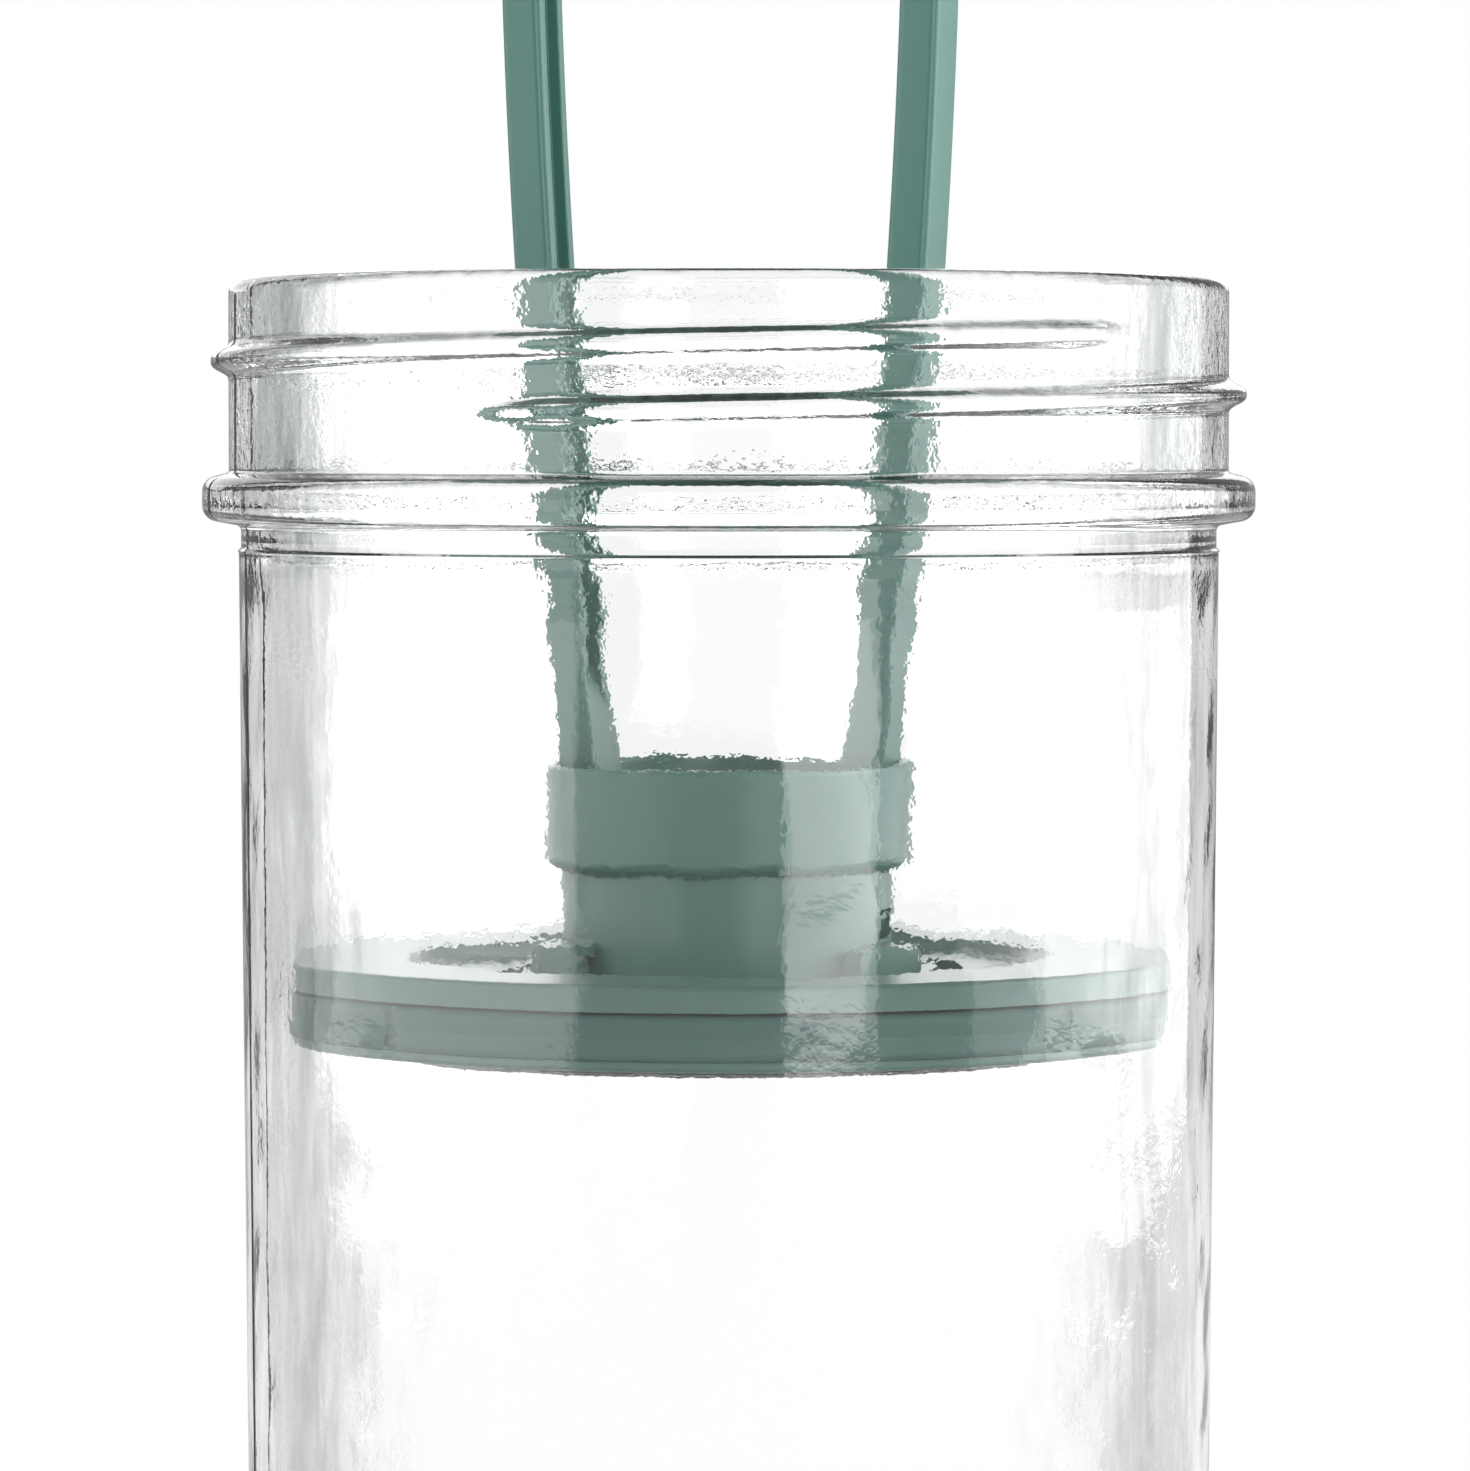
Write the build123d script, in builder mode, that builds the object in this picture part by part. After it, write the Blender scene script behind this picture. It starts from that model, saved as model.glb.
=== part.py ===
from build123d import *
import os
from math import atan2, cos, degrees, pi, radians, sin

# Fermentation jar: a pressed-glass jar with a screw neck, and the press that keeps the
# food under the brine. The press is pushed down and lifted out by a bail handle, whose
# collar turns into three hooks on the press.
# Millimetres. The origin is the middle of the jar's foot, +Z is up, and the two arms of
# the bail lie along X. Heights are heights above the surface that the jar stands on.

# Jar: overall
jar_height = 190.0
body_radius = 55.1
heel_radius = 53.9
body_inner_radius = 50.9
heel_inner_radius = 50.6
neck_radius = 56.2
neck_inner_radius = 52.3
shoulder_radius = 54.85
parting_height = jar_height - 30.5

# Jar: foot and floor
foot_inner_radius = 42.5
punt_radius = 39.0
punt_edge_height = 2.2
punt_height = 2.6
floor_height = 7.5
floor_crown_height = 8.2
heel_rounding = 7.0

# Jar: bead below the neck
bead_radius = 59.2
bead_top = jar_height - 21.7
bead_bottom = jar_height - 27.7
bead_slope = 0.8
bead_rounding = 1.8

# Jar: lip and inner shoulder
lip_rounding = 1.8
lip_inner_rounding = 1.6
inner_shoulder_top = 167.0
inner_shoulder_bottom = 153.0
inner_shoulder_rounding = 25.0

# Jar: screw thread, one rounded ridge that climbs to the right
thread_lead = 7.1
thread_sweep = 441.0
thread_low_end = jar_height - 15.3
thread_low_angle = -100.0
thread_half_width = 1.6
thread_flank = 0.4
thread_shoulder = 1.6
thread_shoulder_half_width = 0.9
thread_depth = 2.0
thread_root = 1.5
thread_end_length = 6.0
thread_end_rise = 2.2

# Press: heights at rest
press_top = 114.2
cap_thickness = 2.0
rim_height = 1.8
band_bottom = 111.3
base_bottom = 104.9
weight_bottom = 103.6

# Press: cap
cap_radius = 49.6
rim_inner_radius = 36.2
rim_draft = 1.0
socket_radius = 19.3
cap_edge_rounding = 0.6
slot_radius = 25.0
slot_width = 3.4
slot_sweep = 50.0
slot_angles = (20.0, 200.0)

# Press: hooks round the socket
hook_angles = (-13.0, 107.0, 227.0)
hook_sweep = 24.0
hook_stop_sweep = 5.0
hook_radius = 22.4
hook_wall = 1.4
hook_height = 3.2
hook_roof = 1.2

# Press: base ring, which snaps into the cap's skirt and carries the weight
upstand_radius = 46.2
upstand_inner_radius = 44.6
lip_opening_radius = 41.6
base_flange_radius = 49.2
base_flange_thickness = 1.1
base_lip_thickness = 1.3
snap_depth = 0.35
snap_height = 0.5
seat_gap = 0.1

# Press: soft parts
wiper_radius = 50.2
wiper_face_inset = 0.35
wiper_rounding = 0.9
wiper_notch_radius = 0.8
wiper_notch_angles = (65.0, 155.0, 245.0, 335.0)
gasket_thickness = 0.8

# Press: glass weight
weight_boss_radius = 41.3
weight_flange_radius = 44.3
weight_ring_inner_radius = 38.2
weight_rounding = 1.4
weight_edge_rounding = 0.8

# Collar: an open cup on a stem
collar_top = jar_height - 54.3
collar_radius = 21.0
collar_low_radius = 20.6
collar_inner_radius = 19.7
collar_low_inner_radius = 19.25
collar_step = 124.2
collar_ledge = 125.0
stem_radius = 18.9
stem_inner_radius = 17.4
stem_floor_thickness = 1.8
collar_rounding = 1.1
collar_lip_rounding = 0.5
lug_radius = 20.7
lug_height = 1.4
lug_sweep = 18.0
lug_stop_gap = 1.0
running_gap = 0.3

# Bail
bail_top = 255.0
bail_width = 6.4
bail_thickness = 4.7
bail_foot_half_span = 17.95
bail_rim_half_span = 24.5
bail_shoulder_half_span = 26.4
bail_shoulder_height = 232.0
bail_edge_rounding = 0.7
bail_overrun = 3.0
tongue_outer_radius = 17.2
tongue_thickness = 3.0
tongue_width = 4.6
tongue_bottom = 113.2
barb_bottom = 116.3
barb_height = 2.8
barb_reach = 1.3
barb_land = 0.7
window_margin = 0.3


def section(*corners):
    """Face inside a closed outline, each of whose corners is radius, height and rounding."""
    points = [(radius, height) for radius, height, rounding in corners]
    roundings = [rounding for radius, height, rounding in corners]
    with BuildSketch() as outline:
        with BuildLine():
            FilletPolyline(points, radius=roundings, close=True)
        make_face()
    return outline.sketch


def ring_sector(inner_radius, outer_radius, start_angle, sweep):
    """Face between two radii, from an angle and over a sweep in degrees."""
    end_angle = start_angle + sweep
    with BuildSketch() as sector:
        with BuildLine():
            CenterArc((0, 0), outer_radius, start_angle, sweep)
            CenterArc((0, 0), inner_radius, start_angle, sweep)
            for angle in (start_angle, end_angle):
                ray = Vector(cos(radians(angle)), sin(radians(angle)))
                Line(ray * inner_radius, ray * outer_radius)
        make_face()
    return sector.sketch


def ring_slot(radius, width, middle_angle, sweep):
    """Curved slot with round ends, along an arc about the origin."""
    with BuildSketch() as slot:
        SlotArc(CenterArc((0, 0), radius, middle_angle - sweep / 2, sweep, mode=Mode.PRIVATE), width)
    return slot.sketch


# Jar: the wall is one turned section, with the ridge of the thread joined to its neck
neck_corners = (
    (shoulder_radius, parting_height, 0),
    (shoulder_radius, bead_bottom, 0),
    (bead_radius, bead_bottom + bead_slope, bead_rounding),
    (bead_radius, bead_top - bead_slope, bead_rounding),
    (neck_radius, bead_top, 0),
    (neck_radius, jar_height, lip_rounding),
    (neck_inner_radius, jar_height, lip_inner_rounding),
    (neck_inner_radius, inner_shoulder_top, inner_shoulder_rounding),
    (body_inner_radius, inner_shoulder_bottom, inner_shoulder_rounding),
)
foot_corners = (
    (heel_inner_radius, floor_height, heel_rounding),
    (0, floor_crown_height, 0),
    (0, punt_height, 0),
    (punt_radius, punt_edge_height, 0),
    (foot_inner_radius, 0, 0),
    (heel_radius, 0, heel_rounding),
    (body_radius, parting_height, 0),
)
thread_rise = thread_lead * thread_sweep / 360


def thread_plane(angle, height):
    """Plane across the ridge, with its x axis outwards and its normal along the climb."""
    outwards = Vector(cos(radians(angle)), sin(radians(angle)), 0)
    climb_angle = atan2(thread_lead, 2 * pi * neck_radius)
    along = outwards.rotate(Axis.Z, 90) * cos(climb_angle) + Vector(0, 0, sin(climb_angle))
    origin = outwards * neck_radius + Vector(0, 0, height)
    return Plane(origin=origin, x_dir=outwards, z_dir=along)


thread_low_plane = thread_plane(thread_low_angle, thread_low_end)
thread_high_plane = thread_plane(thread_low_angle + thread_sweep, thread_low_end + thread_rise)
with BuildPart() as thread_ridge:
    with BuildLine(Plane(origin=(0, 0, thread_low_end), x_dir=thread_low_plane.x_dir)) as ridge_path:
        Helix(pitch=thread_lead, height=thread_rise, radius=neck_radius)
    with BuildSketch(thread_low_plane):
        with BuildLine():
            Polyline(
                (-thread_root, -thread_half_width),
                (thread_flank, -thread_half_width),
                (thread_shoulder, -thread_shoulder_half_width),
                (thread_depth, 0),
                (thread_shoulder, thread_shoulder_half_width),
                (thread_flank, thread_half_width),
                (-thread_root, thread_half_width),
                close=True,
            )
        make_face()
    sweep(path=ridge_path.line, is_frenet=True)
    for end_plane, outward in ((thread_low_plane, -1), (thread_high_plane, 1)):
        ramp = end_plane.x_dir * thread_end_rise - end_plane.z_dir * outward * thread_end_length
        ramp_normal = ramp.cross(end_plane.y_dir) * outward
        with BuildSketch(Plane(origin=end_plane.origin, x_dir=end_plane.y_dir, z_dir=ramp_normal)):
            Rectangle(4 * thread_half_width, 4 * thread_end_length)
        extrude(amount=2 * thread_depth, mode=Mode.SUBTRACT)

with BuildPart() as glass_jar:
    with BuildSketch(Plane.XZ):
        add(section(*neck_corners, *foot_corners))
    revolve(axis=Axis.Z)
    add(thread_ridge.part)

# Press cap: a flat raised rim round a shallow floor, with the hooks round its socket
cap_floor = press_top - rim_height
cap_underside = press_top - cap_thickness
skirt_inner_radius = upstand_radius + seat_gap
with BuildPart() as press_cap:
    with BuildSketch(Plane.XZ):
        add(
            section(
                (socket_radius, cap_floor - cap_thickness, 0),
                (socket_radius, cap_floor, 0),
                (rim_inner_radius - rim_draft, cap_floor, rim_draft),
                (rim_inner_radius, press_top, cap_edge_rounding),
                (cap_radius, press_top, cap_edge_rounding),
                (cap_radius, band_bottom, 0),
                (skirt_inner_radius, band_bottom, 0),
                (skirt_inner_radius, band_bottom + seat_gap, 0),
                (skirt_inner_radius + snap_depth, band_bottom + seat_gap, 0),
                (skirt_inner_radius + snap_depth, cap_underside, 0),
                (rim_inner_radius + rim_draft, cap_underside, 0),
                (rim_inner_radius + rim_draft, cap_floor - cap_thickness, 0),
            )
        )
    revolve(axis=Axis.Z)
    with BuildSketch(Plane.XY.offset(cap_floor)):
        for angle in slot_angles:
            add(ring_slot(slot_radius, slot_width, angle, slot_sweep))
    extrude(amount=-cap_thickness, mode=Mode.SUBTRACT)
    for angle in hook_angles:
        hook_start = angle - hook_sweep / 2
        with BuildSketch(Plane.XY.offset(cap_floor)):
            add(ring_sector(hook_radius - hook_wall, hook_radius, hook_start, hook_sweep))
            add(ring_sector(socket_radius, hook_radius, hook_start - hook_stop_sweep, hook_stop_sweep))
        extrude(amount=hook_height)
        with BuildSketch(Plane.XY.offset(cap_floor + hook_height - hook_roof)):
            add(ring_sector(socket_radius, hook_radius, hook_start, hook_sweep))
        extrude(amount=hook_roof)

# Press base: a ring whose upstand snaps into the cap, with a lip that carries the weight
base_lip_top = base_bottom + base_lip_thickness
upstand_top = cap_underside - seat_gap
snap_bottom = band_bottom + 2 * seat_gap
with BuildPart() as press_base:
    with BuildSketch(Plane.XZ):
        add(
            section(
                (lip_opening_radius, base_bottom, 0),
                (base_flange_radius, base_bottom, cap_edge_rounding),
                (base_flange_radius, base_bottom + base_flange_thickness, 0),
                (upstand_radius, base_bottom + base_flange_thickness, 0),
                (upstand_radius, snap_bottom, 0),
                (upstand_radius + snap_depth, snap_bottom, 0),
                (upstand_radius, snap_bottom + snap_height, 0),
                (upstand_radius, upstand_top, 0),
                (upstand_inner_radius, upstand_top, 0),
                (upstand_inner_radius, base_lip_top, 0),
                (lip_opening_radius, base_lip_top, 0),
            )
        )
    revolve(axis=Axis.Z)

# Wiper ring: soft, held between the base flange and the skirt, with four gas notches
wiper_bottom = base_bottom + base_flange_thickness + seat_gap / 2
wiper_top = band_bottom - running_gap
wiper_middle = (wiper_bottom + wiper_top) / 2
with BuildPart() as wiper_ring:
    with BuildSketch(Plane.XZ):
        add(
            section(
                (upstand_radius + seat_gap, wiper_bottom, 0),
                (wiper_radius, wiper_bottom, wiper_rounding),
                (wiper_radius - wiper_face_inset, wiper_middle, 0),
                (wiper_radius, wiper_top, wiper_rounding),
                (upstand_radius + seat_gap, wiper_top, 0),
            )
        )
    revolve(axis=Axis.Z)
    with BuildSketch(Plane.XY.offset(wiper_bottom)):
        for angle in wiper_notch_angles:
            with PolarLocations(wiper_radius, 1, start_angle=angle):
                Circle(wiper_notch_radius)
    extrude(amount=wiper_top - wiper_bottom, mode=Mode.SUBTRACT)

# Gasket: a flat soft washer between the base lip and the weight
gasket_bottom = base_lip_top
gasket_top = gasket_bottom + gasket_thickness
with BuildPart() as weight_gasket:
    with BuildSketch(Plane.XY.offset(gasket_bottom)):
        Circle(weight_flange_radius)
        Circle(lip_opening_radius, mode=Mode.SUBTRACT)
    extrude(amount=gasket_thickness)

# Weight: a thick pressed-glass disc, with a boss through the base and a raised ring
weight_ring_top = cap_underside - running_gap
weight_floor = cap_floor - cap_thickness - running_gap
with BuildPart() as glass_weight:
    with BuildSketch(Plane.XZ):
        add(
            section(
                (0, weight_bottom, 0),
                (weight_boss_radius, weight_bottom, weight_rounding),
                (weight_boss_radius, gasket_top, 0),
                (weight_flange_radius, gasket_top, 0),
                (weight_flange_radius, weight_ring_top, weight_edge_rounding),
                (weight_ring_inner_radius, weight_ring_top, weight_edge_rounding),
                (weight_ring_inner_radius, weight_floor, weight_edge_rounding),
                (0, weight_floor, 0),
            )
        )
    revolve(axis=Axis.Z)

# Collar: an open cup on a stem, with three lugs that turn under the hooks and two
# windows that take the barbs of the bail
stem_bottom = cap_floor - cap_thickness + seat_gap
lug_bottom = cap_floor + running_gap
with BuildPart() as collar:
    with BuildSketch(Plane.XZ):
        add(
            section(
                (0, stem_bottom, 0),
                (stem_radius, stem_bottom, collar_lip_rounding),
                (stem_radius, collar_step, collar_lip_rounding),
                (collar_low_radius, collar_step, collar_rounding),
                (collar_radius, collar_top, collar_lip_rounding),
                (collar_inner_radius, collar_top, collar_lip_rounding),
                (collar_low_inner_radius, collar_ledge, 0),
                (stem_inner_radius, collar_ledge, 0),
                (stem_inner_radius, stem_bottom + stem_floor_thickness, collar_rounding),
                (0, stem_bottom + stem_floor_thickness, 0),
            )
        )
    revolve(axis=Axis.Z)
    for angle in hook_angles:
        with BuildSketch(Plane.XY.offset(lug_bottom)):
            lug_start = angle - hook_sweep / 2 + lug_stop_gap
            add(ring_sector(stem_radius - hook_roof, lug_radius, lug_start, lug_sweep))
        extrude(amount=lug_height)
    with BuildSketch(Plane.XY.offset(barb_bottom - window_margin)):
        Rectangle(2 * collar_low_radius, tongue_width + 2 * window_margin)
        Circle(stem_inner_radius - window_margin, mode=Mode.SUBTRACT)
    extrude(amount=barb_height + 2 * window_margin, mode=Mode.SUBTRACT)

# Bail: two bowed arms and an arch in one flat bar, whose ends stand on the ledge of the
# collar and carry tongues with barbs
barb_top = barb_bottom + barb_height
tongue_root = collar_ledge + bail_overrun / 2
with BuildPart() as bail:
    with BuildSketch(Plane.XZ):
        with BuildLine():
            arm = ThreePointArc(
                (bail_foot_half_span, collar_ledge),
                (bail_rim_half_span, jar_height),
                (bail_shoulder_half_span, bail_shoulder_height),
            )
            arm_tangent = arm % 1
            arch_sweep = 180 - degrees(atan2(arm_tangent.Y, arm_tangent.X))
            arch_radius = (bail_top - bail_shoulder_height) / (1 - cos(radians(arch_sweep)))
            arch = JernArc(start=arm @ 1, tangent=arm_tangent, radius=arch_radius, arc_size=arch_sweep)
            Line(arch @ 1, (0, bail_top))
            Line(arm @ 0, (arm @ 0) - (arm % 0) * bail_overrun)
            offset(amount=bail_thickness, side=Side.LEFT)
        make_face()
        mirror(about=Plane.YZ)
    extrude(amount=bail_width / 2, both=True)
    fillet(bail.faces().filter_by(Axis.Y).edges(), bail_edge_rounding)
    split(bisect_by=Plane.XY.offset(collar_ledge), keep=Keep.TOP)
    with BuildSketch(Plane.XZ):
        add(
            section(
                (tongue_outer_radius - tongue_thickness, tongue_root, 0),
                (tongue_outer_radius, tongue_root, 0),
                (tongue_outer_radius, barb_top, 0),
                (tongue_outer_radius + barb_reach, barb_top, 0),
                (tongue_outer_radius + barb_reach, barb_top - barb_land, 0),
                (tongue_outer_radius, barb_bottom, 0),
                (tongue_outer_radius, tongue_bottom, bail_edge_rounding),
                (tongue_outer_radius - tongue_thickness, tongue_bottom, bail_edge_rounding),
            )
        )
        mirror(about=Plane.YZ)
    extrude(amount=tongue_width / 2, both=True)

glass_jar.part.label = "glass_jar"
press_cap.part.label = "press_cap"
press_base.part.label = "press_base"
wiper_ring.part.label = "wiper_ring"
weight_gasket.part.label = "weight_gasket"
glass_weight.part.label = "glass_weight"
collar.part.label = "collar"
bail.part.label = "bail"

os.makedirs("parts", exist_ok=True)
export_step(glass_jar.part, "parts/glass_jar.step")
export_step(press_cap.part, "parts/press_cap.step")
export_step(press_base.part, "parts/press_base.step")
export_step(wiper_ring.part, "parts/wiper_ring.step")
export_step(weight_gasket.part, "parts/weight_gasket.step")
export_step(glass_weight.part, "parts/glass_weight.step")
export_step(collar.part, "parts/collar.step")
export_step(bail.part, "parts/bail.step")
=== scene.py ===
import logging
import math
from collections.abc import Callable
from dataclasses import dataclass
from enum import Enum
from functools import partial
from typing import NamedTuple

import bpy
import numpy as np
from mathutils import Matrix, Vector


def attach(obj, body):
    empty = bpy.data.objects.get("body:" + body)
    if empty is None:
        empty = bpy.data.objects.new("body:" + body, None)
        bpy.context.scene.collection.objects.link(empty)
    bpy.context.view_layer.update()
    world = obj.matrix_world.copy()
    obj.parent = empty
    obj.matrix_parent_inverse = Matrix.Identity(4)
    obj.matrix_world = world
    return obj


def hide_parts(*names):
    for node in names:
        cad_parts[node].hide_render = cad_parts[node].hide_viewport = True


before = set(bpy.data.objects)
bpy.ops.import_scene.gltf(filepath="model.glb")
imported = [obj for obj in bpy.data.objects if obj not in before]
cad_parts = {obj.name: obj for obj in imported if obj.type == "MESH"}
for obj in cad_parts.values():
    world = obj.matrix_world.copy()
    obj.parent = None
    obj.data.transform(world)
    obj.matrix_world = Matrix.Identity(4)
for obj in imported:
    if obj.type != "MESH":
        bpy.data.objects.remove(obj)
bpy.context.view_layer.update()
log = logging.getLogger("fermentation_jar")

Colour = tuple[float, float, float]

# Sizes are in metres, heights are above the jar's foot, and angles in fields are in degrees.
MM = 0.001
# Heights between which the body's relief, painted edge shade and waves become the neck's.
NECK_FADE = (152.0 * MM, 164.0 * MM)
WHITE: Colour = (1.0, 1.0, 1.0)
# Blender's noise swings about this value.
NOISE_MIDDLE = 0.5
# A rounded corner has at least this many steps.
FEWEST_ARC_STEPS = 3
# Columns whose angles agree to this many decimals of a radian are one column.
ANGLE_DIGITS = 7
# A step longer than any run of an outline, which leaves its runs whole.
UNDIVIDED = 1.0
FULL_TURN = 2 * math.pi


class Body(Enum):
    """The rigid bodies that the pieces ride on."""

    JAR = "jar"
    PRESS = "press"
    HANDLE = "handle"


class Slot(Enum):
    """The record's material slots."""

    JAR_GLASS = "jar_glass"
    SAGE_PLASTIC = "sage_plastic"
    SAGE_SILICONE = "sage_silicone"
    CLEAR_SILICONE = "clear_silicone"
    WEIGHT_GLASS = "weight_glass"


class Corner(NamedTuple):
    """A corner of an outline: where it is, how round it is, and how long the steps after it are."""

    radius: float
    height: float
    rounding: float
    step: float


def opaque(colour: Colour) -> tuple[float, float, float, float]:
    """Returns a colour with full alpha, as Blender's sockets take it."""
    return (*colour, 1.0)


class Graph:
    """Adds nodes to one tree and joins them."""

    def __init__(self, tree: bpy.types.NodeTree) -> None:
        """Starts on an empty tree.

        Args:
            tree: The tree of a material, a world or a group.
        """
        self.tree = tree
        tree.nodes.clear()

    def add(self, kind: str, settings: dict | None = None, **inputs: object) -> bpy.types.Node:
        """Makes a node.

        Args:
            kind: Blender's name of the node type.
            settings: Properties of the node itself, such as its operation.
            **inputs: A value or an output socket for each input, by its name with
                underscores for spaces, or by its number after the letter i.

        Returns:
            The new node.
        """
        node = self.tree.nodes.new(kind)
        for name, value in (settings or {}).items():
            setattr(node, name, value)
        for name, value in inputs.items():
            numbered = name[0] == "i" and name[1:].isdigit()
            socket = node.inputs[int(name[1:])] if numbered else node.inputs[name.replace("_", " ")]
            if isinstance(value, bpy.types.NodeSocket):
                self.tree.links.new(value, socket)
            else:
                socket.default_value = value
        return node

    def math(self, operation: str, *values: object) -> bpy.types.NodeSocket:
        """One step of arithmetic on numbers or sockets.

        Args:
            operation: Blender's name of the operation.
            *values: Up to three operands.

        Returns:
            The result's socket.
        """
        inputs = {f"i{number}": value for number, value in enumerate(values)}
        return self.add("ShaderNodeMath", {"operation": operation}, **inputs).outputs[0]

    def noise(self, place: bpy.types.NodeSocket, **inputs: object) -> bpy.types.NodeSocket:
        """Blender's noise texture.

        Args:
            place: Where it is read.
            **inputs: Its scale, detail and so on.

        Returns:
            The socket of its value, from 0 to 1.
        """
        return self.add("ShaderNodeTexNoise", Vector=place, **inputs).outputs["Fac"]

    def remap(
        self, value: bpy.types.NodeSocket, settings: dict | None = None, **limits: float
    ) -> bpy.types.NodeSocket:
        """Moves a value from one range to another and holds it there.

        Args:
            value: What is moved.
            settings: Properties of the node, such as its interpolation.
            **limits: Ends of the two ranges, which are 0 and 1 where left out.

        Returns:
            The result's socket.
        """
        return self.add("ShaderNodeMapRange", settings, Value=value, **limits).outputs[0]

    def mix_colours(
        self, share: bpy.types.NodeSocket, first: object, second: object
    ) -> bpy.types.NodeSocket:
        """Mixes two colours.

        Args:
            share: Share of the second colour.
            first: A colour with alpha, or a socket.
            second: The same.

        Returns:
            The result's socket.
        """
        node = self.add("ShaderNodeMix", {"data_type": "RGBA"}, i0=share, i6=first, i7=second)
        return node.outputs[2]

    def ramp(self, value: bpy.types.NodeSocket, stops: list[tuple[float, Colour]]) -> bpy.types.NodeSocket:
        """A colour ramp.

        Args:
            value: What drives the ramp.
            stops: Places from 0 to 1, each with its colour.

        Returns:
            The ramp's colour socket.
        """
        node = self.add("ShaderNodeValToRGB", Fac=value)
        elements = node.color_ramp.elements
        while len(elements) < len(stops):
            elements.new(position=1.0)
        for element, (position, colour) in zip(elements, stops):
            element.position = position
            element.color = opaque(colour)
        return node.outputs["Color"]


class GroupMaker:
    """Builds a shader node group with named inputs and outputs, once."""

    def __init__(self, name: str) -> None:
        """Starts an empty group.

        Args:
            name: What the effect is called.
        """
        self.tree = bpy.data.node_groups.new(name, "ShaderNodeTree")
        self.graph = Graph(self.tree)

    def number_in(self, name: str, default: float) -> None:
        """Adds a number input with a default."""
        socket = self.tree.interface.new_socket(name=name, in_out="INPUT", socket_type="NodeSocketFloat")
        socket.default_value = default

    def colour_in(self, name: str, default: Colour) -> None:
        """Adds a colour input with a default."""
        socket = self.tree.interface.new_socket(name=name, in_out="INPUT", socket_type="NodeSocketColor")
        socket.default_value = opaque(default)

    def vector_in(self, name: str) -> None:
        """Adds a vector input."""
        self.tree.interface.new_socket(name=name, in_out="INPUT", socket_type="NodeSocketVector")

    def inputs(self) -> bpy.types.NodeOutputs:
        """Returns the sockets that carry the group's inputs inside it."""
        return self.graph.add("NodeGroupInput").outputs

    def finish(self, **results: bpy.types.NodeSocket) -> bpy.types.NodeTree:
        """Adds the outputs and joins them.

        Args:
            **results: The socket for each output; a name that ends in colour is a colour.

        Returns:
            The finished group.
        """
        for name in results:
            kind = "NodeSocketColor" if name.endswith("colour") else "NodeSocketFloat"
            self.tree.interface.new_socket(name=name, in_out="OUTPUT", socket_type=kind)
        self.graph.add("NodeGroupOutput", **results)
        return self.tree


def pressed_relief_group() -> bpy.types.NodeTree:
    """Relief of pressed glass: fine peel, and streaks drawn out along the wall.

    Returns:
        A group whose height output feeds a Bump node; streak is the streaks alone, about 0.
    """
    maker = GroupMaker("pressed_relief")
    maker.vector_in("place")
    maker.number_in("peel scale", 800.0)
    maker.number_in("streak scale", 420.0)
    maker.number_in("streak stretch", 0.2)
    maker.number_in("streak share", 1.0)
    given = maker.inputs()
    graph = maker.graph
    peel = graph.noise(given["place"], Scale=given["peel scale"], Detail=2.0, Roughness=0.55)
    stretch = graph.add("ShaderNodeCombineXYZ", X=1.0, Y=1.0, Z=given["streak stretch"])
    drawn = graph.add(
        "ShaderNodeVectorMath", {"operation": "MULTIPLY"}, i0=given["place"], i1=stretch.outputs[0]
    )
    streak = graph.noise(
        drawn.outputs[0], Scale=given["streak scale"], Detail=1.5, Roughness=0.5, Distortion=0.4
    )
    weighted = graph.math("MULTIPLY", streak, given["streak share"])
    return maker.finish(
        height=graph.math("ADD", peel, weighted),
        streak=graph.math("SUBTRACT", streak, NOISE_MIDDLE),
    )


def moulded_skin_group() -> bpy.types.NodeTree:
    """Skin of a moulded piece: fine spark texture, slow colour drift and a painted highlight on sharp
    convex edges.

    Returns:
        A group whose outputs are the colour, how matt the skin is, and the texture's height.
    """
    drift_scale = 45.0
    value_span = 2.0
    edge_start = 0.52
    # Pale colour of the painted edge highlight.
    edge_end = 0.62
    painted_highlight_colour = (0.75, 0.82, 0.8)
    matt_span = 0.12
    maker = GroupMaker("moulded_skin")
    maker.vector_in("place")
    maker.colour_in("base", (0.26, 0.43, 0.38))
    maker.number_in("roughness", 0.45)
    maker.number_in("grain scale", 2600.0)
    maker.number_in("drift", 0.05)
    maker.number_in("rub", 0.12)
    given = maker.inputs()
    graph = maker.graph
    grain = graph.noise(given["place"], Scale=given["grain scale"], Detail=3.0, Roughness=0.65)
    slow = graph.noise(given["place"], Scale=drift_scale, Detail=2.0)
    shift = graph.math("MULTIPLY", graph.math("SUBTRACT", slow, NOISE_MIDDLE), given["drift"])
    value = graph.math("ADD", 1.0, graph.math("MULTIPLY", shift, value_span))
    drifted = graph.add("ShaderNodeHueSaturation", Color=given["base"], Value=value)
    # Painted highlight: sharp convex edges, found by pointiness, are mixed towards a pale colour.
    edge = graph.add("ShaderNodeNewGeometry").outputs["Pointiness"]
    painted_highlight = graph.math("MULTIPLY", graph.remap(edge, From_Min=edge_start, From_Max=edge_end), given["rub"])
    matt_shift = graph.math("MULTIPLY", graph.math("SUBTRACT", grain, NOISE_MIDDLE), matt_span)
    return maker.finish(
        colour=graph.mix_colours(painted_highlight, drifted.outputs[0], opaque(painted_highlight_colour)),
        matt=graph.math("ADD", given["roughness"], matt_shift),
        height=grain,
    )


class Groups:
    """The shared groups, each built once."""

    def __init__(self) -> None:
        """Builds every shared group."""
        self.pressed_relief = pressed_relief_group()
        self.moulded_skin = moulded_skin_group()


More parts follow.
